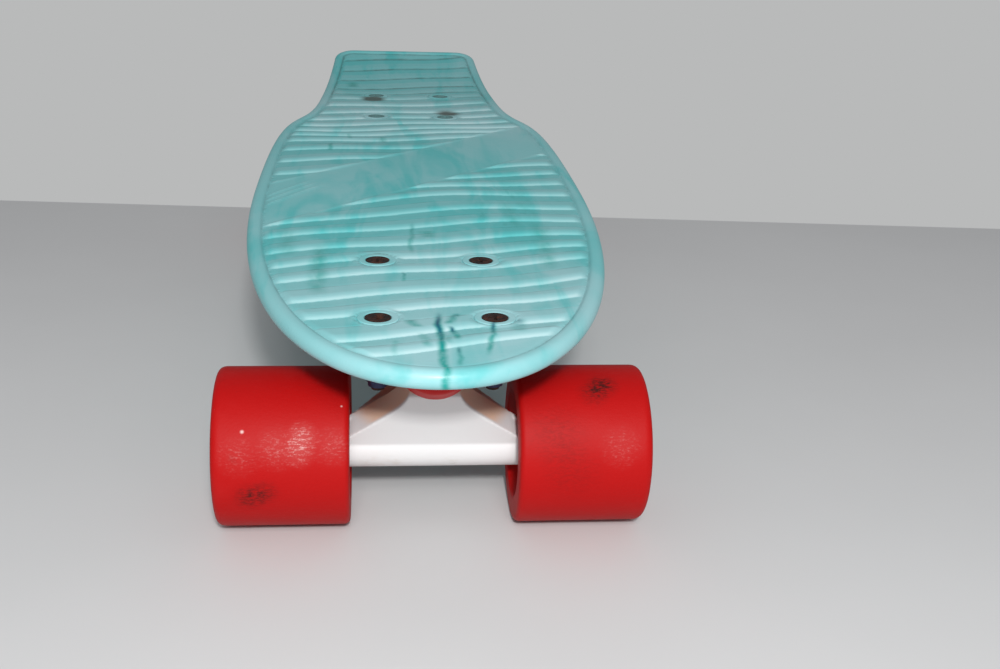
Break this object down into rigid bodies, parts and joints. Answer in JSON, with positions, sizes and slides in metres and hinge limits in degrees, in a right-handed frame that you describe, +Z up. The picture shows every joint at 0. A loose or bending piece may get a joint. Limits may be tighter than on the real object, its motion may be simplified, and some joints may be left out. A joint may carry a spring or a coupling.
{
  "type": "cruiser skateboard",
  "caption": "Small moulded-plastic cruiser skateboard: ridged deck with a kick tail on two sprung steering trucks with soft wide wheels on ball bearings.",
  "frame": {"origin": "on the floor under the middle of the deck's length and width", "axes": "X across the board, positive to the right as seen from the nose; Y along the board from nose (-Y) to tail (+Y); Z up"},
  "size_m": [0.1612, 0.559, 0.1003],
  "materials": {
    "deck_plastic": "pale aqua plastic with teal and blue swirls, scuffed",
    "dark_screw": "dark blackened screws with some rust",
    "blue_nut": "dark lock nuts",
    "red_plastic": "moulded red plastic",
    "pivot_rubber": "dark soft rubber",
    "bushing_urethane": "red urethane",
    "white_plastic": "white moulded plastic, slightly dirty",
    "wheel_urethane": "red urethane, worn on the tread",
    "shield_steel": "pressed steel",
    "bearing_steel": "ground steel",
    "plated_steel": "zinc-plated steel"
  },
  "bodies": {
    "board": {"deck": "deck_plastic", "front_baseplate": "red_plastic", "front_deck_nuts": "blue_nut", "front_deck_screws": "dark_screw", "front_kingpin": "plated_steel", "front_kingpin_nut": "plated_steel", "front_lower_bushing": "bushing_urethane", "front_lower_bushing_washer": "plated_steel", "front_pivot_cup": "pivot_rubber", "front_upper_bushing": "bushing_urethane", "front_upper_bushing_washer": "plated_steel", "rear_baseplate": "red_plastic", "rear_deck_nuts": "blue_nut", "rear_deck_screws": "dark_screw", "rear_kingpin": "plated_steel", "rear_kingpin_nut": "plated_steel", "rear_lower_bushing": "bushing_urethane", "rear_lower_bushing_washer": "plated_steel", "rear_pivot_cup": "pivot_rubber", "rear_upper_bushing": "bushing_urethane", "rear_upper_bushing_washer": "plated_steel"},
    "front_truck": {"front_axle": "plated_steel", "front_axle_nuts": "plated_steel", "front_axle_washers": "plated_steel", "front_bearing_inner_rings": "bearing_steel", "front_bearing_spacers": "plated_steel", "front_hanger": "white_plastic"},
    "rear_truck": {"rear_axle": "plated_steel", "rear_axle_nuts": "plated_steel", "rear_axle_washers": "plated_steel", "rear_bearing_inner_rings": "bearing_steel", "rear_bearing_spacers": "plated_steel", "rear_hanger": "white_plastic"},
    "front_left_wheel": {"front_left_bearing_balls": "bearing_steel", "front_left_bearing_outer_rings": "bearing_steel", "front_left_bearing_shields": "shield_steel", "front_left_wheel": "wheel_urethane"},
    "front_right_wheel": {"front_right_bearing_balls": "bearing_steel", "front_right_bearing_outer_rings": "bearing_steel", "front_right_bearing_shields": "shield_steel", "front_right_wheel": "wheel_urethane"},
    "rear_left_wheel": {"rear_left_bearing_balls": "bearing_steel", "rear_left_bearing_outer_rings": "bearing_steel", "rear_left_bearing_shields": "shield_steel", "rear_left_wheel": "wheel_urethane"},
    "rear_right_wheel": {"rear_right_bearing_balls": "bearing_steel", "rear_right_bearing_outer_rings": "bearing_steel", "rear_right_bearing_shields": "shield_steel", "rear_right_wheel": "wheel_urethane"}
  },
  "joints": [
    {"name": "front_steer", "type": "hinge", "parent": "board", "child": "front_truck", "pos_m": [0, -0.23, 0.0675], "axis": [0, -0.8304, 0.5572], "range_deg": [-14, 14], "stiffness_Nm_per_rad": 25, "deforming": ["front_upper_bushing", "front_lower_bushing"]},
    {"name": "rear_steer", "type": "hinge", "parent": "board", "child": "rear_truck", "pos_m": [0, 0.17, 0.0675], "axis": [0, 0.8304, 0.5572], "range_deg": [-14, 14], "stiffness_Nm_per_rad": 25, "deforming": ["rear_upper_bushing", "rear_lower_bushing"]},
    {"name": "front_left_wheel_spin", "type": "hinge", "parent": "front_truck", "child": "front_left_wheel", "pos_m": [0, -0.211, 0.03], "axis": [1, 0, 0], "continuous": true},
    {"name": "front_right_wheel_spin", "type": "hinge", "parent": "front_truck", "child": "front_right_wheel", "pos_m": [0, -0.211, 0.03], "axis": [1, 0, 0], "continuous": true},
    {"name": "rear_left_wheel_spin", "type": "hinge", "parent": "rear_truck", "child": "rear_left_wheel", "pos_m": [0, 0.151, 0.03], "axis": [1, 0, 0], "continuous": true},
    {"name": "rear_right_wheel_spin", "type": "hinge", "parent": "rear_truck", "child": "rear_right_wheel", "pos_m": [0, 0.151, 0.03], "axis": [1, 0, 0], "continuous": true}
  ]
}
